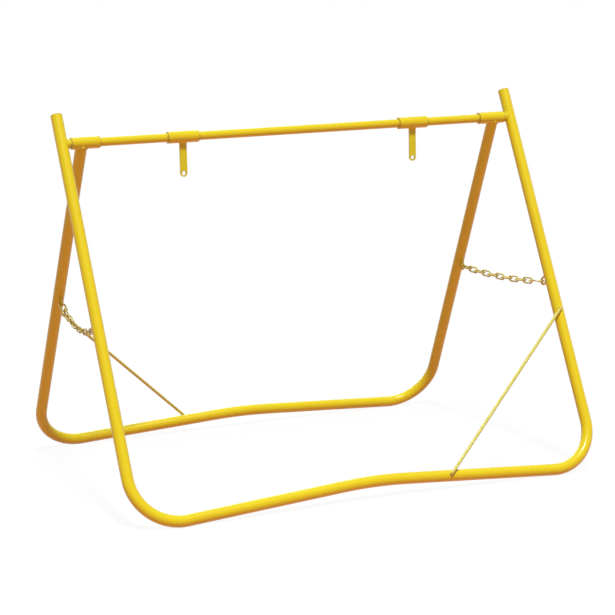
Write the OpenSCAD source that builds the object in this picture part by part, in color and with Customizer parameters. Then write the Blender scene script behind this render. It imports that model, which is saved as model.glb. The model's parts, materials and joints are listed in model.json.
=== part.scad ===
// Folding swing frame of bent steel tube: two U-shaped frames hinged on a crossbar,
// two loose hangers on the bar, two stay chains and two swing stops.
// X runs along the crossbar, -Y is the front, Z is up. The origin lies on the floor
// midway between the four feet, straight below the middle of the crossbar.

/* [Stance] */
// Height of the crossbar axis above the floor
pivot_h = 754; // [640:1:900]
// Angle between the two frames when the chains are taut
open_angle = 56; // [46:1:64]

/* [Frame tube] */
// Outside diameter of the leg and rail tube
tube_d = 25.4; // [22:0.1:30]
// Wall of the leg and rail tube
tube_wall = 1.6; // [1.2:0.1:2.6]
// Radius of the bend between leg and rail, on the tube's centre line
corner_r = 102; // [80:1:150]
// Slope of each half of the rail, rising to the middle
rail_slope = 4.1; // [2:0.1:6]
// Radius of the bend in the middle of the rail
rail_bend_r = 1000; // [500:50:1600]

/* [Front frame] */
// Distance between the two front legs at the crossbar, centre to centre
front_w = 1080; // [900:5:1400]
// Length of each front leg above the crossbar axis
front_top = 66; // [30:1:110]

/* [Crossbar and hinges] */
// Outside diameter of the crossbar
bar_d = 19.05; // [16:0.05:21.3]
// Wall of the crossbar
bar_wall = 2; // [1.4:0.1:3]
// Running clearance between the crossbar and a sleeve, on the radius
sleeve_fit = 0.1; // [0.05:0.05:0.5]
// Wall of the hinge and hanger sleeves
sleeve_wall = 3.4; // [3:0.1:5]
// Length of a hinge sleeve
hinge_len = 63; // [50:1:90]
// Gap between a front leg and its hinge sleeve
hinge_gap = 7; // [4:0.5:15]
// Distance from a hinge sleeve's outer end to the axis of the rear leg on it
rear_leg_at = 24.3; // [18:0.1:34]
// Outward lean of each rear leg
rear_splay = 1.2; // [0.2:0.1:2.5]

/* [Hangers] */
// Length of a hanger sleeve
hanger_len = 70; // [40:1:100]
// Distance of the left hanger from the middle of the crossbar
hanger_left_at = 268; // [120:1:380]
// Distance of the right hanger from the middle of the crossbar
hanger_right_at = 287; // [120:1:380]
// Width of a hanger strap
strap_w = 16; // [14:0.5:24]
// Thickness of a hanger strap
strap_t = 4; // [2:0.5:8]
// Distance from the crossbar axis down to the hole in a strap
strap_drop = 79; // [50:1:140]
// Diameter of the hole in a strap
strap_hole = 9; // [6:0.5:11]

/* [Chains] */
// Distance from the crossbar axis to a chain eye, down the rear leg
eye_drop = 410; // [340:5:520]
// Rise of a chain from its rear eye to its front eye
chain_rise = 11; // [0:1:20]
// Wire of an eye
eye_wire = 5; // [4:0.5:6]
// Radius of an eye's round end, on the centre line of its wire
eye_r = 7.5; // [7:0.5:10]
// Length of an eye's straight sides, from the tube to the round end
eye_stand = 9; // [7:0.5:14]
// Distance of a front eye from the leg's axis, towards the middle of the frame
front_eye_in = 9; // [0:0.5:9]
// Wire of a chain link
link_wire = 4; // [3:0.5:4.5]
// Inside length of a chain link
link_inner = 30; // [24:1:40]
// Outside width of a chain link
link_w = 16; // [15:0.5:20]
// Play between a link and what it hangs on
link_play = 0.7; // [0.3:0.1:0.8]
// Sag in the middle of the left chain, which hangs slack
chain_sag_left = 36; // [4:1:44]
// Sag in the middle of the right chain
chain_sag_right = 8; // [4:1:44]
// Wire of a chain hook
hook_wire = 4; // [3:0.5:4.5]
// Radius of a chain hook's bends, on the centre line of its wire
hook_bend = 6; // [5.5:0.5:7]

/* [Swing stops] */
// Diameter of a swing stop rod
stop_d = 7; // [4:0.5:8]
// Distance from the crossbar axis to the upper end of the front stop, down the leg
front_stop_drop = 475; // [400:5:520]
// Distance from the crossbar axis to the upper end of the rear stop, down the leg
rear_stop_drop = 450; // [400:5:520]
// Sideways run of a stop, from the leg to the rail
stop_run = 365; // [280:1:400]
// Gap between a stop rod and the tubes that it crosses
stop_stand = 1.5; // [0.5:0.1:4]
// Depth of a stop's ends in the tube
stop_seat = 5; // [3:0.5:8]
// Clearance of a stop's ends in their holes, on the radius
stop_fit = 0.2; // [0.1:0.05:0.4]

/* [Hidden] */
$fn = 64;
yellow = [0.95, 0.78, 0.06];
zinc = [0.72, 0.66, 0.42];
half = open_angle / 2;
tube_r = tube_d / 2;
bore_r = tube_r - tube_wall;
bar_r = bar_d / 2;
sleeve_bore_r = bar_r + sleeve_fit;
sleeve_r = sleeve_bore_r + sleeve_wall;
front_half = front_w / 2;
hinge_outer = front_half - tube_r - hinge_gap;
rear_half = hinge_outer - rear_leg_at;
// Depth of a rail's lowest point below the crossbar axis, measured down the frame's plane
foot_depth = (pivot_h - tube_r) / cos(half);
// How far a cutting shape reaches past the face that it cuts
past = 1;
// How far a straight tube runs into a bend, and how much thicker the bend is there
lap = 0.5;
swell = 0.05;
stop_bend = stop_stand + stop_d / 2;
hook_back_turn = 255;
hook_front_turn = 200;

// Centre of the bend at the foot of a leg
function bend_centre(w, splay) = [
    w + (foot_depth - corner_r * (1 + sin(splay))) * tan(splay) - corner_r * cos(splay),
    corner_r - foot_depth
];
// Length of a leg from the crossbar axis to the bend
function leg_len(splay) = (foot_depth - corner_r * (1 + sin(splay))) / cos(splay);
// Start of the straight part of a rail, at the bend
function rail_start(w, splay) = bend_centre(w, splay) - corner_r * [sin(rail_slope), cos(rail_slope)];
// Start of the bend in the middle of a rail
rail_mid_x = rail_bend_r * sin(rail_slope);
function rail_len(w, splay) = (rail_start(w, splay)[0] - rail_mid_x) / cos(rail_slope);
function rail_mid_y(w, splay) = rail_start(w, splay)[1] + rail_len(w, splay) * sin(rail_slope);
// Height of the straight part of a rail at a distance x from the middle
function rail_y(w, splay, x) = rail_mid_y(w, splay) - (x - rail_mid_x) * tan(rail_slope);
// A point on the axis of a leg
function on_leg(w, splay, drop) = [w + drop * sin(splay), -drop * cos(splay)];

// Chain eyes, as distances from the leg's axis towards the inside of the frames
rear_eye_depth = tube_r + eye_stand;
front_eye_depth = sqrt(tube_r * tube_r - front_eye_in * front_eye_in) + eye_stand;
rear_eye = on_leg(rear_half, rear_splay, eye_drop);
// The front eye stands higher than the rear one by the chain's rise
front_eye_drop = -rear_eye[1] + (rear_eye_depth - front_eye_depth) * tan(half) - chain_rise / cos(half);
front_eye_x = front_half - front_eye_in;
chain_back_y = -rear_eye[1] * sin(half) - rear_eye_depth * cos(half);
chain_front_y = front_eye_depth * cos(half) - front_eye_drop * sin(half);
chain_z = pivot_h + rear_eye[1] * cos(half) - rear_eye_depth * sin(half);
chain_dx = front_eye_x - rear_eye[0];
chain_dy = chain_back_y - chain_front_y;
chain_span = norm([chain_dx, chain_dy, chain_rise]);
chain_yaw = atan2(chain_dx, chain_dy);
chain_pitch = asin(chain_rise / chain_span);

// Links, counted so that the hook takes up what is left of the span
link_bow = link_inner + link_wire;
link_pitch = link_inner - link_play;
link_seat = eye_r - (eye_wire + link_wire) / 2 - link_play;
hook_seat = eye_r - (eye_wire + hook_wire) / 2 - link_play;
hook_least = 6.4 * hook_bend;
link_count = 2 * floor((chain_span - link_seat - hook_seat - hook_least) / (2 * link_pitch));
hook_at = link_seat + (link_count - 1) * link_pitch + link_bow - (link_wire + hook_wire) / 2 - link_play;

// A chain hangs in an arc below the line from eye to eye. s is the distance along it from its rear eye.
function chain_sag(side) = side == "left" ? chain_sag_left : chain_sag_right;
function sag_turn(side) = 2 * atan(2 * chain_sag(side) / chain_span);
function sag_r(side) = chain_span / (2 * sin(sag_turn(side)));
function chain_len(side) = sag_r(side) * sag_turn(side) * PI / 90;
function sag_slope(side, s) = sag_turn(side) * (1 - 2 * s / chain_len(side));
function chain_at(side, s) = sag_r(side) * [
    sin(sag_turn(side)) - sin(sag_slope(side, s)),
    0,
    cos(sag_turn(side)) - cos(sag_slope(side, s))
];

SIDES = ["left", "right"];
link_names = [for (s = SIDES) for (i = [1:link_count]) str("chain_link_", s, "_", i)];

// Places
// A frame is drawn flat: x across, y up its legs from the crossbar axis, z out of the stand.
module on_front() {
    translate([0, 0, pivot_h]) rotate([90 - half, 0, 0]) children();
}

module on_rear() {
    translate([0, 0, pivot_h]) rotate([0, 0, 180]) rotate([90 - half, 0, 0]) children();
}

module on_bar(x) {
    translate([x, 0, pivot_h]) rotate([0, 90, 0]) children();
}

module on_side(side) {
    mirror([side == "left" ? 1 : 0, 0, 0]) children();
}

// A chain is drawn along x from its rear eye, with z up.
module on_chain(side) {
    on_side(side)
        translate([rear_eye[0], chain_back_y, chain_z])
            rotate([0, -chain_pitch, chain_yaw - 90])
                children();
}

// Shapes
module arc_rod(bend, rod_r, turn) {
    rotate_extrude(angle = turn) translate([bend, 0]) circle(r = rod_r);
}

module tube(outer, inner, len) {
    difference() {
        cylinder(r = outer, h = len, center = true);
        cylinder(r = inner, h = len + 2 * past, center = true);
    }
}

// A straight length of frame tube along z
module straight_tube(len) {
    difference() {
        cylinder(r = tube_r, h = len);
        translate([0, 0, -past]) cylinder(r = bore_r, h = len + 2 * past);
    }
}

// A bent length of frame tube, a hair thicker than the straight ones that run into it
module bent_tube(bend, turn) {
    rotate_extrude(angle = turn) translate([bend, 0]) difference() {
        circle(r = tube_r + swell);
        circle(r = bore_r - swell);
    }
}

// One leg with its bend and half of the rail
module half_run(w, splay, top) {
    translate([w, 0, 0]) rotate([0, 0, splay]) rotate([90, 0, 0])
        translate([0, 0, -top]) straight_tube(top + leg_len(splay) + lap);
    translate(bend_centre(w, splay)) rotate([0, 0, -90 - rail_slope])
        bent_tube(corner_r, 90 + rail_slope + splay);
    translate(rail_start(w, splay)) rotate([0, 0, 180 - rail_slope]) rotate([0, 90, 0])
        translate([0, 0, -lap]) straight_tube(rail_len(w, splay) + 2 * lap);
}

module u_run(w, splay, top) {
    half_run(w, splay, top);
    mirror([1, 0, 0]) half_run(w, splay, top);
    translate([0, rail_mid_y(w, splay) - rail_bend_r * cos(rail_slope), 0])
        rotate([0, 0, 90 - rail_slope])
            bent_tube(rail_bend_r, 2 * rail_slope);
}

// Ends of a swing stop on its leg and rail
function stop_top(w, splay, drop) = on_leg(w, splay, drop);
function stop_foot(w, splay, drop) =
    let (x = stop_top(w, splay, drop)[0] - stop_run)
    [x, rail_y(w, splay, x)];

module stop_holes(w, splay, drop) {
    for (p = [stop_top(w, splay, drop), stop_foot(w, splay, drop)])
        translate(p) cylinder(r = stop_d / 2 + stop_fit, h = tube_r + past);
}

// The bent end of a stop, from inside the tube up to the rod
module stop_end() {
    translate([0, 0, -stop_seat]) cylinder(d = stop_d, h = stop_seat);
    translate([stop_bend, 0, 0]) rotate([90, 0, 0]) rotate([0, 0, 90])
        arc_rod(stop_bend, stop_d / 2, 90);
}

module stop_rod(w, splay, drop) {
    top = stop_top(w, splay, drop);
    run = stop_foot(w, splay, drop) - top;
    straight = norm(run) - 2 * stop_bend;
    color(yellow) translate(top) rotate([0, 0, atan2(run[1], run[0])]) translate([0, 0, tube_r]) {
        stop_end();
        translate([stop_bend, 0, stop_bend]) rotate([0, 90, 0]) cylinder(d = stop_d, h = straight);
        translate([stop_bend, 0, 0]) translate([straight, 0, 0]) translate([stop_bend, 0, 0])
            mirror([1, 0, 0]) stop_end();
    }
}

// A welded wire eye: a half ring on two straight sides that end on the tube
module eye(leg_x, x, y, depth) {
    color(yellow) difference() {
        translate([x, y, -depth]) {
            rotate([0, 90, 0]) rotate([0, 0, -90]) arc_rod(eye_r, eye_wire / 2, 180);
            for (s = [-1, 1])
                translate([0, s * eye_r, 0]) cylinder(d = eye_wire, h = depth);
        }
        translate([leg_x, y, 0]) rotate([90, 0, 0])
            cylinder(r = tube_r, h = 4 * eye_r, center = true);
    }
}

// Pieces
module front_frame() {
    color(yellow) on_front() difference() {
        u_run(front_half, 0, front_top);
        stop_holes(front_half, 0, front_stop_drop);
    }
}

module crossbar() {
    color(yellow) difference() {
        on_bar(0) tube(bar_r, bar_r - bar_wall, front_w);
        for (s = [-1, 1])
            on_front() translate([s * front_half, 0, 0]) rotate([90, 0, 0])
                cylinder(r = tube_r, h = 4 * tube_r, center = true);
    }
}

module rear_frame() {
    color(yellow) on_rear() difference() {
        u_run(rear_half, rear_splay, 0);
        stop_holes(rear_half, rear_splay, rear_stop_drop);
        rotate([0, 90, 0]) cylinder(r = sleeve_r, h = front_w, center = true);
    }
}

module hinge_sleeve(side) {
    color(yellow) on_side(side) on_bar(hinge_outer - hinge_len / 2)
        tube(sleeve_r, sleeve_bore_r, hinge_len);
}

function hanger_x(side) = side == "left" ? -hanger_left_at : hanger_right_at;

module hanger_sleeve(side) {
    color(yellow) on_bar(hanger_x(side)) tube(sleeve_r, sleeve_bore_r, hanger_len);
}

module hanger_strap(side) {
    color(yellow) translate([hanger_x(side), 0, pivot_h]) difference() {
        union() {
            translate([-strap_w / 2, -strap_t / 2, -strap_drop])
                cube([strap_w, strap_t, strap_drop]);
            translate([0, 0, -strap_drop]) rotate([90, 0, 0])
                cylinder(d = strap_w, h = strap_t, center = true);
        }
        translate([0, 0, -strap_drop]) rotate([90, 0, 0])
            cylinder(d = strap_hole, h = strap_t + 2 * past, center = true);
        rotate([0, 90, 0]) cylinder(r = sleeve_r, h = strap_w + 2 * past, center = true);
    }
}

module front_eye(side) {
    on_side(side) on_front()
        eye(front_half, front_eye_x, -front_eye_drop, front_eye_depth);
}

module rear_eye_piece(side) {
    on_side(side) mirror([1, 0, 0]) on_rear()
        eye(rear_eye[0], rear_eye[0], rear_eye[1], rear_eye_depth);
}

module chain_link(side, i) {
    at = link_seat + (i - 1) * link_pitch + link_bow / 2;
    bend = (link_w - link_wire) / 2;
    arm = link_bow / 2 - bend;
    color(zinc) on_chain(side)
        translate(chain_at(side, at)) rotate([0, sag_slope(side, at), 0])
            rotate([i % 2 == 0 ? 90 : 0, 0, 0])
                for (s = [0, 180]) rotate([0, 0, s]) {
                    translate([arm, 0, 0]) rotate([0, 0, -90]) arc_rod(bend, link_wire / 2, 180);
                    translate([-arm, bend, 0]) rotate([0, 90, 0])
                        cylinder(d = link_wire, h = 2 * arm);
                }
}

module chain_hook(side) {
    hook_end = chain_len(side) - hook_seat;
    hook_span = hook_end - hook_at;
    reach = hook_span - 2 * hook_bend;
    lean = asin(2 * hook_bend / reach);
    shank = reach * cos(lean);
    middle = (chain_at(side, hook_at) + chain_at(side, hook_end)) / 2;
    color(zinc) on_chain(side)
        translate(middle) rotate([0, sag_slope(side, (hook_at + hook_end) / 2), 0])
            rotate([0, 0, -lean]) translate([-shank / 2, 0, 0]) {
                translate([0, -hook_bend, 0]) rotate([0, 0, 90])
                    arc_rod(hook_bend, hook_wire / 2, hook_back_turn);
                rotate([0, 90, 0]) cylinder(d = hook_wire, h = shank);
                translate([shank, hook_bend, 0]) rotate([0, 0, -90])
                    arc_rod(hook_bend, hook_wire / 2, hook_front_turn);
            }
}

front_frame();
crossbar();
rear_frame();
on_front() stop_rod(front_half, 0, front_stop_drop);  // stop_rod_front
on_rear() stop_rod(rear_half, rear_splay, rear_stop_drop);  // stop_rod_rear
for (s = SIDES) {
    hinge_sleeve(s);
    hanger_sleeve(s);
    hanger_strap(s);
    front_eye(s);
    rear_eye_piece(s);
    chain_hook(s);
    for (i = [1:link_count])
        chain_link(s, i);
}
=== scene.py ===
"""Looks of a folding swing frame: painted tube, worn chain paint and weld beads, on a pale studio floor."""

import json
import math

import bpy
from mathutils import Matrix, Vector


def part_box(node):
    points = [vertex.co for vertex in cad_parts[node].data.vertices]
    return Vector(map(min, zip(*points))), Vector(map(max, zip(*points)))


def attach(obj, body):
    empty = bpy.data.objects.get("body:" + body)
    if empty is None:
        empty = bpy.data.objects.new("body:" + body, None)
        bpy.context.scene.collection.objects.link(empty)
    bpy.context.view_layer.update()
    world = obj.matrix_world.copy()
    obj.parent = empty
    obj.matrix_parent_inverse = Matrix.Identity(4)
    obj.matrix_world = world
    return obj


# Construction sizes, in metres and radians, that the weld beads and the rubbed places follow
TUBE_R = 0.0127
TUBE_BORE_R = 0.0111
BAR_R = 0.009525
SLEEVE_R = 0.013025
FRAME_LEAN = math.radians(28)
REAR_SPLAY = math.radians(1.2)
FRONT_LEG_X = 0.540
FRONT_LEG_ABOVE_BAR = 0.066
REAR_LEG_X = 0.496
STRAP_SIZE = (0.016, 0.004)
EYE_WIRE_R = 0.0025
EYE_R = 0.0075
FRONT_EYE_INSET = 0.009
STOP_ROD_R = 0.0035
STOP_PIN_DEPTH = 0.001

# Weld beads: radii and ripple lengths in metres, then the swell of a ripple, and counts and shape of a loop
CROSSBAR_BEAD_R = 0.0024
REAR_LEG_BEAD_R = 0.0022
STRAP_BEAD_R = 0.0015
EYE_BEAD_R = 0.0012
STOP_ROD_BEAD_R = 0.0013
RIPPLE = 0.0022
EYE_RIPPLE = 0.0016
STOP_ROD_RIPPLE = 0.0024
RIPPLE_LOW = 0.84
RIPPLE_RISE = 0.22
BEAD_SIDES = 10
WIRE_BEAD_SIDES = 8
WIRE_BEAD_POINTS = 48
STRAP_CORNER_POWER = 0.35

# Rubbed and unpainted places, in metres: the reach of each, or where it fades out and where it is full
CROSSBAR_RUB = 0.006
SLEEVE_RUB = 0.0022
FLOOR_SCUFF_HEIGHT = 0.0035
HOLE_RUB = (0.0021, 0.0006)
LEG_TOP_RUB = (0.0018, 0.0004)
BORE_EDGE = (0.0005, 0.0002)
BORE_FROM_BAR = (-0.10, -0.05)

# Finishes, as linear colours
YELLOW = (0.81, 0.68, 0.005, 1)
DEEP_YELLOW = (0.77, 0.58, 0.004, 1)
# Strap yellows: a lighter, greener copy of the frame's yellow, which is painted light, so that the upright straps,
# which take less of the key light and the warm floor bounce, still look lit yellow
STRAP_PAINTED_LIGHT_YELLOW = (0.79, 0.76, 0.010, 1)
DEEP_STRAP_PAINTED_LIGHT_YELLOW = (0.74, 0.66, 0.008, 1)
# Stop rod yellows: a paler, less orange copy of the frame's yellow, which is a painted highlight: the pale sheen
# along the thin rods is put into their colour
ROD_SHEEN_YELLOW = (0.66, 0.635, 0.085, 1)
DEEP_ROD_SHEEN_YELLOW = (0.60, 0.54, 0.065, 1)
CHAIN_YELLOW = (0.63, 0.555, 0.075, 1)
BARE_STEEL = (0.30, 0.29, 0.27, 1)
RUST = (0.20, 0.085, 0.030, 1)
GRIME = (0.10, 0.075, 0.030, 1)

# Noise scales of the finishes, in features per metre
PATCHES = 7.0
CHIP_ZONES = 16.0
FLOOR_SCUFFS = 130.0
RUST_SPOTS = 300.0
CHIPS = 420.0
ORANGE_PEEL = 950.0
PAINT_RUNS = (60.0, 60.0, 14.0)
CHAIN_PATCHES = 120.0
CHAIN_SPECKS = 700.0

# Studio: floor and air look white, and the floor's bounce is warm, for the orange shade on the rear legs
WHITE = (1, 1, 1, 1)
FLOOR_PALE = (0.95, 0.95, 0.95, 1)
FLOOR_WHITENESS = 0.93
FLOOR_BOUNCE = (0.69, 0.27, 0.28, 1)
FLOOR_HALF = 9.0
SOFT_AIR = (0.95, 0.97, 1.0, 1)
SOFT_AIR_STRENGTH = 0.16
KEY_ENERGY = 3.05
KEY_TOWARDS = (0.04, 0.40, -0.916)
KEY_SOFTNESS = math.radians(9)
FILL_ENERGY = 1.15
FILL_TOWARDS = (-0.10, -0.93, -0.36)
FILL_SOFTNESS = math.radians(40)
CAMERA_PLACE = (-1.8872, -4.3829, 1.2198)
CAMERA_FORWARD = (0.40262, 0.89164, -0.20706)
CAMERA_ROLL = -0.01836
CAMERA_LENS = 125.79
CAMERA_SENSOR = 36.0
CAMERA_SHIFT = (-0.05, 0.10)

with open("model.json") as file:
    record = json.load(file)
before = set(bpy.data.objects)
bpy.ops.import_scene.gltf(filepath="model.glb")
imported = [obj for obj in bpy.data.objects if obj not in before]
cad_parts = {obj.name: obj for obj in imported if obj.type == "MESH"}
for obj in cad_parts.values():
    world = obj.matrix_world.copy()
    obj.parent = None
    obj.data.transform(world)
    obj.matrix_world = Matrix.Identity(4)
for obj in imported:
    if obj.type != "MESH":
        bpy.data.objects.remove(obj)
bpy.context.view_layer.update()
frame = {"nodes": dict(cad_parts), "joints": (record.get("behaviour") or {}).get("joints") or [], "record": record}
nodes = frame["nodes"]
joints = {j["name"]: j for j in frame["joints"]}
PIVOT = Vector(joints["fold"]["pos_m"])
HANGER_X = {side: joints[f"hanger_{side}_swing"]["pos_m"][0] for side in ("left", "right")}
hole_mounts = frame["record"]["mounts"]
HANGER_HOLES = [m["pos_m"] for m in hole_mounts]
HOLE_R = hole_mounts[0]["dims"]["r_mm"] / 1000


# Shader maths


class Value:
    """A socket in a material, with the operators that add Math nodes."""

    def __init__(self, finish, socket):
        self.finish = finish
        self.socket = socket

    def operate(self, operation, first, second):
        return self.finish.node("ShaderNodeMath", {"operation": operation}, {0: first, 1: second})

    def __add__(self, other):
        return self.operate("ADD", self, other)

    def __radd__(self, other):
        return self.operate("ADD", other, self)

    def __sub__(self, other):
        return self.operate("SUBTRACT", self, other)

    def __rsub__(self, other):
        return self.operate("SUBTRACT", other, self)

    def __mul__(self, other):
        return self.operate("MULTIPLY", self, other)

    def __rmul__(self, other):
        return self.operate("MULTIPLY", other, self)

    def __abs__(self):
        return self.operate("ABSOLUTE", self, 0)

    def most(self, other):
        return self.operate("MAXIMUM", self, other)

    def ramp(self, low, high):
        """0 below low and 1 above high, smooth between them. It falls where low is above high."""
        return self.finish.node(
            "ShaderNodeMapRange",
            {"interpolation_type": "SMOOTHSTEP"},
            {"Value": self, "From Min": low, "From Max": high},
        )


class Finish:
    """A material, or the studio's surround, under construction."""

    def __init__(self, name, owner=None):
        self.owner = owner or bpy.data.materials.new(name)
        self.owner.use_nodes = True
        self.tree = self.owner.node_tree
        self.tree.nodes.clear()

    def node(self, kind, settings, inputs, output=0):
        made = self.tree.nodes.new(kind)
        for key, value in settings.items():
            setattr(made, key, value)
        for key, value in inputs.items():
            if isinstance(value, Value):
                self.tree.links.new(value.socket, made.inputs[key])
            else:
                made.inputs[key].default_value = value
        return Value(self, made.outputs[output])

    def place(self):
        """Position in the part's own frame, which stays on a piece as it moves."""
        return self.node("ShaderNodeTexCoord", {}, {}, "Object")

    def axes(self, place):
        return [self.node("ShaderNodeSeparateXYZ", {}, {0: place}, i) for i in range(3)]

    def noise(self, place, scale, detail=2.0, rough=0.5):
        return self.node(
            "ShaderNodeTexNoise",
            {},
            {"Vector": place, "Scale": scale, "Detail": detail, "Roughness": rough},
            "Fac",
        )

    def stretched(self, place, scale):
        return self.node("ShaderNodeMapping", {}, {"Vector": place, "Scale": scale})

    def mix(self, factor, first, second):
        return self.node(
            "ShaderNodeMix",
            {"data_type": "RGBA"},
            {"Factor": factor, 6: first, 7: second},
            2,
        )

    def bump(self, height, strength, distance):
        inputs = {"Height": height, "Strength": strength, "Distance": distance}
        return self.node("ShaderNodeBump", {}, inputs)

    def output(self, shader, kind="ShaderNodeOutputMaterial"):
        end = self.tree.nodes.new(kind)
        self.tree.links.new(shader.socket, end.inputs["Surface"])
        return self.owner


# Rubbed and unpainted places


def strongest(masks):
    found = masks[0]
    for mask in masks[1:]:
        found = found.most(mask)
    return found


def sleeve_end_rub(ends_x, reach):
    """Rubbing where the ends of sleeves turn on the crossbar."""

    def rub(f, place):
        x = f.axes(place)[0]
        return strongest([abs(x - end).ramp(reach, reach * 0.2) for end in ends_x])

    return rub


def hole_rub(f, place):
    """Rubbing round the holes in the straps, from what hangs in them."""
    masks = []
    for hole in HANGER_HOLES:
        inputs = {0: place, 1: hole}
        apart = f.node("ShaderNodeVectorMath", {"operation": "DISTANCE"}, inputs, "Value")
        masks.append(apart.ramp(*[HOLE_R + reach for reach in HOLE_RUB]))
    return strongest(masks)


def leg_offset(f, place, direction):
    """Distance from the crossbar's axis along a direction."""
    from_pivot = f.node("ShaderNodeVectorMath", {"operation": "SUBTRACT"}, {0: place, 1: PIVOT})
    inputs = {0: from_pivot, 1: direction}
    return f.node("ShaderNodeVectorMath", {"operation": "DOT_PRODUCT"}, inputs, "Value")


def up_front_leg(f, place):
    return leg_offset(f, place, (0, math.sin(FRAME_LEAN), math.cos(FRAME_LEAN)))


def tube_top_rub(f, place):
    """Rubbing on the cut tops of the front legs."""
    return up_front_leg(f, place).ramp(*[FRONT_LEG_ABOVE_BAR - reach for reach in LEG_TOP_RUB])


def tube_bore(f, place):
    """The inside of the front legs, which the open tops show."""
    outward = leg_offset(f, place, (0, -math.cos(FRAME_LEAN), math.sin(FRAME_LEAN)))
    sideways = abs(f.axes(place)[0]) - FRONT_LEG_X
    apart_squared = sideways * sideways + outward * outward
    inside = apart_squared.ramp(*[(TUBE_BORE_R + reach) ** 2 for reach in BORE_EDGE])
    return inside * up_front_leg(f, place).ramp(*BORE_FROM_BAR)


# Finishes


def paint(name, wear=0.5, rub=None, bore=None, peel_depth=1.0, tints=(YELLOW, DEEP_YELLOW)):
    """Glossy enamel over steel: orange peel, thin patches, chips, rubbed places and an unpainted bore."""
    f = Finish(name)
    place = f.place()
    height_up = f.axes(place)[2]
    patches = f.noise(place, PATCHES, 3.0)
    peel = f.noise(place, ORANGE_PEEL, 1.0)
    runs = f.noise(f.stretched(place, PAINT_RUNS), 1.0, 2.0)
    speckle = f.noise(place, CHIPS, 2.0, 0.6)
    chip_edge = 0.735 - 0.05 * wear
    chip_zone = f.noise(place, CHIP_ZONES, 2.0).ramp(0.60, 0.72)
    chips = speckle.ramp(chip_edge, chip_edge + 0.04) * chip_zone
    scuffs = height_up.ramp(FLOOR_SCUFF_HEIGHT, 0.0) * f.noise(place, FLOOR_SCUFFS, 3.0).ramp(0.42, 0.62)
    bare = chips.most(scuffs * 0.8)
    grime = scuffs * 0.5
    if rub:
        rubbed = rub(f, place)
        rub_edge = 0.64 - 0.10 * wear
        bare = bare.most(rubbed * speckle.ramp(rub_edge, rub_edge + 0.10))
        grime = grime.most(rubbed * 0.16)
    if bore:
        inside = bore(f, place)
        bare = bare.most(inside)
        grime = grime.most(inside * 0.8)
    tint = f.mix(patches.ramp(0.35, 0.75) * 0.45, *tints)
    steel = f.mix(f.noise(place, RUST_SPOTS, 2.0).ramp(0.45, 0.65), BARE_STEEL, RUST)
    tint = f.mix(bare, tint, steel)
    tint = f.mix(grime, tint, GRIME)
    height = peel * (0.24 * peel_depth) + runs * (0.8 * peel_depth) - bare * 1.2
    shader = f.node(
        "ShaderNodeBsdfPrincipled",
        {},
        {
            "Base Color": tint,
            "Roughness": 0.24 + patches * 0.10 + bare * 0.30 + grime * 0.25,
            "Metallic": bare * 0.6,
            "Coat Weight": (1 - bare) * 0.14,
            "Coat Roughness": 0.08,
            "Specular IOR Level": 0.28,
            "Normal": f.bump(height, 0.22, 0.0005),
        },
    )
    return f.output(shader)


def chain_paint(name):
    """Thin yellow paint on chain, rubbed through to dull steel in patches."""
    f = Finish(name)
    place = f.place()
    patches = f.noise(place, CHAIN_PATCHES, 3.0, 0.6)
    specks = f.noise(place, CHAIN_SPECKS, 2.0)
    bare = (patches * 0.7 + specks * 0.3).ramp(0.56, 0.66) * 0.55
    steel = f.mix(specks.ramp(0.5, 0.7), BARE_STEEL, RUST)
    shader = f.node(
        "ShaderNodeBsdfPrincipled",
        {},
        {
            "Base Color": f.mix(bare, CHAIN_YELLOW, steel),
            "Roughness": 0.34 + bare * 0.18 + specks * 0.08,
            "Metallic": bare * 0.7,
            "Coat Weight": (1 - bare) * 0.15,
            "Normal": f.bump(specks - bare * 0.8, 0.25, 0.0003),
        },
    )
    return f.output(shader)


# Dressing of the solids


def dress(names, material):
    for name in names:
        mesh = nodes[name].data
        mesh.materials.clear()
        mesh.materials.append(material)


def both(prefix):
    return [f"{prefix}_left", f"{prefix}_right"]


def ends(node):
    low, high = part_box(node)
    return low.x, high.x


def dress_frames():
    dress(["front_frame"], paint("front_frame_enamel", rub=tube_top_rub, bore=tube_bore))
    dress(["rear_frame"], paint("rear_frame_enamel"))


def dress_crossbar_and_sleeves():
    sleeves = both("hinge_sleeve") + both("hanger_sleeve")
    sleeve_ends = [x for sleeve in sleeves for x in ends(sleeve)]
    dress(["crossbar"], paint("crossbar_enamel", 0.8, sleeve_end_rub(sleeve_ends, CROSSBAR_RUB)))
    for sleeve in sleeves:
        dress([sleeve], paint(f"{sleeve}_enamel", 0.9, sleeve_end_rub(ends(sleeve), SLEEVE_RUB)))


def dress_straps():
    # The strap tints are painted light: lighter and greener than the frame paint, for straps that take less of the
    # key light
    tints = (STRAP_PAINTED_LIGHT_YELLOW, DEEP_STRAP_PAINTED_LIGHT_YELLOW)
    dress(both("hanger_strap"), paint("strap_enamel_painted_light", 1.6, hole_rub, peel_depth=0.6, tints=tints))


def dress_eyes():
    """Gives back the finish, which the weld beads share."""
    wire = paint("wire_enamel", 0.9, peel_depth=0.25)
    dress(both("front_eye") + both("rear_eye"), wire)
    return wire


def dress_stop_rods():
    # The rod tints are a painted highlight: paler than the frame paint, for the sheen along the thin rods
    tints = (ROD_SHEEN_YELLOW, DEEP_ROD_SHEEN_YELLOW)
    rod = paint("stop_rod_enamel_painted_sheen", 0.9, peel_depth=0.25, tints=tints)
    dress(["stop_rod_front", "stop_rod_rear"], rod)


def dress_chains():
    dress([n for n in nodes if n.startswith("chain_")], chain_paint("chain_enamel"))


# Weld beads


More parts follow.
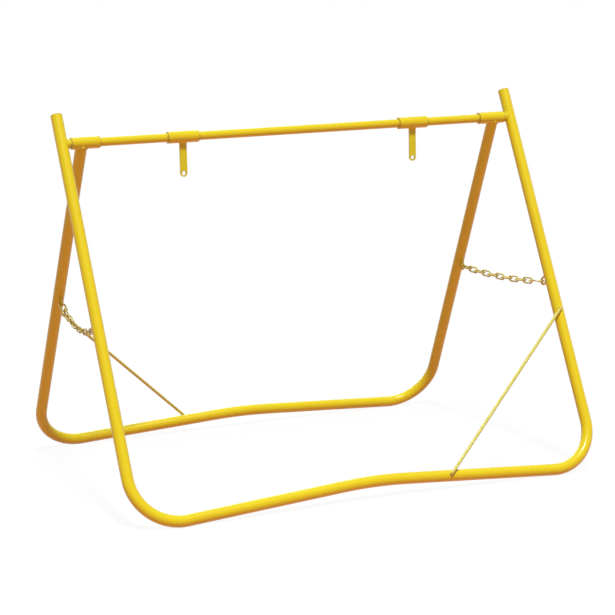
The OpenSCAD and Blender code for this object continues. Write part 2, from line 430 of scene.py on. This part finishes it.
def bead(name, path, radius, body, material, ripple=RIPPLE, sides=BEAD_SIDES):
    """A closed weld bead along a loop of points, with the ripples of its runs."""
    count = len(path)
    steps = [(path[(i + 1) % count] - path[i]).length for i in range(count)]
    total = sum(steps)
    ripples = max(4, round(total / ripple))
    no_bead_runs_along = Vector((0.31, 0.52, 0.79))
    verts, faces = [], []
    travelled = 0.0
    for i, point in enumerate(path):
        along = (path[(i + 1) % count] - path[i - 1]).normalized()
        side = along.cross(no_bead_runs_along).normalized()
        up = side.cross(along)
        phase = math.pi * ripples * travelled / total
        swell = radius * (RIPPLE_LOW + RIPPLE_RISE * abs(math.sin(phase)))
        for k in range(sides):
            turn = 2 * math.pi * k / sides
            verts.append(point + swell * (math.cos(turn) * side + math.sin(turn) * up))
        travelled += steps[i]
    for i in range(count):
        here, there = i * sides, ((i + 1) % count) * sides
        for k in range(sides):
            n = (k + 1) % sides
            faces.append((here + k, here + n, there + n, there + k))
    mesh = bpy.data.meshes.new(name)
    mesh.from_pydata([v[:] for v in verts], [], faces)
    mesh.shade_smooth()
    mesh.materials.append(material)
    piece = bpy.data.objects.new(name, mesh)
    bpy.context.scene.collection.objects.link(piece)
    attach(piece, body)


def frame_place(which):
    """From a frame's flat drawing (x across, y up the legs, z outward) to the part's frame."""
    turn = Matrix.Rotation(math.pi / 2 - FRAME_LEAN, 4, "X")
    if which == "rear":
        turn = Matrix.Rotation(math.pi, 4, "Z") @ turn
    return Matrix.Translation(PIVOT) @ turn


def around(count):
    return [2 * math.pi * i / count for i in range(count)]


def crossbar_welds(material):
    """Where the crossbar's ends meet the front legs."""
    outward = Vector((0, -math.cos(FRAME_LEAN), math.sin(FRAME_LEAN)))
    for side, sign in (("left", -1), ("right", 1)):
        path = []
        for turn in around(120):
            across = Vector((0, BAR_R * math.cos(turn), BAR_R * math.sin(turn)))
            depth = across.dot(outward)
            x = sign * (FRONT_LEG_X - math.sqrt(TUBE_R**2 - depth**2))
            path.append(PIVOT + across + Vector((x, 0, 0)))
        bead(f"weld_crossbar_{side}", path, CROSSBAR_BEAD_R, "front", material)


def rear_leg_welds(material):
    """Where the tops of the rear legs meet the hinge sleeves."""
    place = frame_place("rear")
    for side, sign in (("left", 1), ("right", -1)):
        path = []
        for turn in around(140):
            z = TUBE_R * math.sin(turn)
            y = -math.sqrt(SLEEVE_R**2 - z**2)
            x = sign * (REAR_LEG_X - y * math.tan(REAR_SPLAY)) + TUBE_R * math.cos(turn)
            path.append(place @ Vector((x, y, z)))
        bead(f"weld_rear_leg_{side}", path, REAR_LEG_BEAD_R, "rear", material)


def strap_welds(material):
    """Where the straps meet the undersides of the hanger sleeves."""
    half_w, half_t = STRAP_SIZE[0] / 2, STRAP_SIZE[1] / 2
    for side, x in HANGER_X.items():
        path = []
        for turn in around(100):
            cos, sin = math.cos(turn), math.sin(turn)
            across = half_w * math.copysign(abs(cos) ** STRAP_CORNER_POWER, cos)
            depth = half_t * math.copysign(abs(sin) ** STRAP_CORNER_POWER, sin)
            drop = math.sqrt(SLEEVE_R**2 - depth**2)
            path.append(PIVOT + Vector((x + across, depth, -drop)))
        bead(f"weld_strap_{side}", path, STRAP_BEAD_R, f"hanger_{side}", material)


def eye_welds(material):
    """Where the two ends of each eye stand on the inner face of a leg."""
    for which in ("front", "rear"):
        place = frame_place(which)
        inset = FRONT_EYE_INSET if which == "front" else 0.0
        for side in ("left", "right"):
            low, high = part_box(f"{which}_eye_{side}")
            middle = place.inverted() @ ((low + high) / 2)
            leg_x = middle.x + math.copysign(inset, middle.x)
            for end, up in (("upper", EYE_R), ("lower", -EYE_R)):
                path = []
                for turn in around(WIRE_BEAD_POINTS):
                    x = middle.x + EYE_WIRE_R * math.cos(turn)
                    y = middle.y + up + EYE_WIRE_R * math.sin(turn)
                    depth = math.sqrt(TUBE_R**2 - (x - leg_x) ** 2)
                    path.append(place @ Vector((x, y, -depth)))
                name = f"weld_{which}_eye_{side}_{end}"
                bead(name, path, EYE_BEAD_R, which, material, EYE_RIPPLE, WIRE_BEAD_SIDES)


def stop_rod_welds(material):
    """Where the bent ends of each stop rod go into the outer faces of the leg and the rail."""
    for which in ("front", "rear"):
        place = frame_place(which)
        back = place.inverted()
        drawn = [back @ v.co for v in nodes[f"stop_rod_{which}"].data.vertices]
        pins = [v for v in drawn if v.z < TUBE_R - STOP_PIN_DEPTH]
        middle_x = (max(v.x for v in pins) + min(v.x for v in pins)) / 2
        for end in ("upper", "lower"):
            pin = [v for v in pins if (v.x > middle_x) == (end == "upper")]
            centre = sum(pin, Vector()) / len(pin)
            path = []
            for turn in around(WIRE_BEAD_POINTS):
                x = STOP_ROD_R * math.cos(turn)
                y = STOP_ROD_R * math.sin(turn)
                off_axis = x if end == "upper" else y
                height = math.sqrt(TUBE_R**2 - off_axis**2)
                path.append(place @ Vector((centre.x + x, centre.y + y, height)))
            name = f"weld_stop_{which}_{end}"
            bead(name, path, STOP_ROD_BEAD_R, which, material, STOP_ROD_RIPPLE, WIRE_BEAD_SIDES)


# Studio


def seen(f):
    """1 for the rays that should find a white surround: those of the camera, and of gloss and glass."""
    camera_ray = f.node("ShaderNodeLightPath", {}, {}, "Is Camera Ray")
    glossy_ray = f.node("ShaderNodeLightPath", {}, {}, "Is Glossy Ray")
    glass_ray = f.node("ShaderNodeLightPath", {}, {}, "Is Transmission Ray")
    return camera_ray.most(glossy_ray).most(glass_ray)


def pale_floor():
    f = Finish("pale_floor")
    bounce = f.node("ShaderNodeBsdfDiffuse", {}, {"Color": FLOOR_BOUNCE})
    white = f.node("ShaderNodeEmission", {}, {"Color": WHITE, "Strength": 1.0})
    pale = f.node("ShaderNodeBsdfDiffuse", {}, {"Color": FLOOR_PALE})
    shown = f.node("ShaderNodeMixShader", {}, {0: FLOOR_WHITENESS, 1: pale, 2: white})
    f.output(f.node("ShaderNodeMixShader", {}, {0: seen(f), 1: bounce, 2: shown}))
    mesh = bpy.data.meshes.new("floor")
    signs = ((-1, -1), (1, -1), (1, 1), (-1, 1))
    corners = [(x * FLOOR_HALF, y * FLOOR_HALF, 0) for x, y in signs]
    mesh.from_pydata(corners, [], [(0, 1, 2, 3)])
    mesh.materials.append(f.owner)
    floor = bpy.data.objects.new("floor", mesh)
    bpy.context.scene.collection.objects.link(floor)


def white_surround():
    f = Finish("studio_air", bpy.data.worlds.new("studio"))
    bpy.context.scene.world = f.owner
    soft = f.node("ShaderNodeBackground", {}, {"Color": SOFT_AIR, "Strength": SOFT_AIR_STRENGTH})
    white = f.node("ShaderNodeBackground", {}, {"Color": WHITE, "Strength": 1.0})
    shown = f.node("ShaderNodeMixShader", {}, {0: seen(f), 1: soft, 2: white})
    f.output(shown, "ShaderNodeOutputWorld")


def sun(name, energy, towards, softness):
    light = bpy.data.lights.new(name, "SUN")
    light.energy = energy
    light.angle = softness
    made = bpy.data.objects.new(name, light)
    made.rotation_mode = "QUATERNION"
    made.rotation_quaternion = Vector(towards).to_track_quat("-Z", "Y")
    bpy.context.scene.collection.objects.link(made)


def camera():
    data = bpy.data.cameras.new("camera")
    data.lens = CAMERA_LENS
    data.sensor_width = CAMERA_SENSOR
    data.shift_x, data.shift_y = CAMERA_SHIFT
    made = bpy.data.objects.new("camera", data)
    bpy.context.scene.collection.objects.link(made)
    forward = Vector(CAMERA_FORWARD).normalized()
    right = forward.cross(Vector((0, 0, 1))).normalized()
    up = right.cross(forward)
    across = right * math.cos(CAMERA_ROLL) + up * math.sin(CAMERA_ROLL)
    upward = up * math.cos(CAMERA_ROLL) - right * math.sin(CAMERA_ROLL)
    turn = Matrix((across, upward, -forward)).transposed()
    made.matrix_world = Matrix.Translation(CAMERA_PLACE) @ turn.to_4x4()
    bpy.context.scene.camera = made


bpy.context.scene.view_settings.view_transform = "Standard"
dress_frames()
dress_crossbar_and_sleeves()
dress_straps()
wire_finish = dress_eyes()
dress_stop_rods()
dress_chains()
crossbar_welds(wire_finish)
rear_leg_welds(wire_finish)
strap_welds(wire_finish)
eye_welds(wire_finish)
stop_rod_welds(wire_finish)
pale_floor()
white_surround()
sun("overhead_key", KEY_ENERGY, KEY_TOWARDS, KEY_SOFTNESS)
sun("back_fill", FILL_ENERGY, FILL_TOWARDS, FILL_SOFTNESS)
camera()
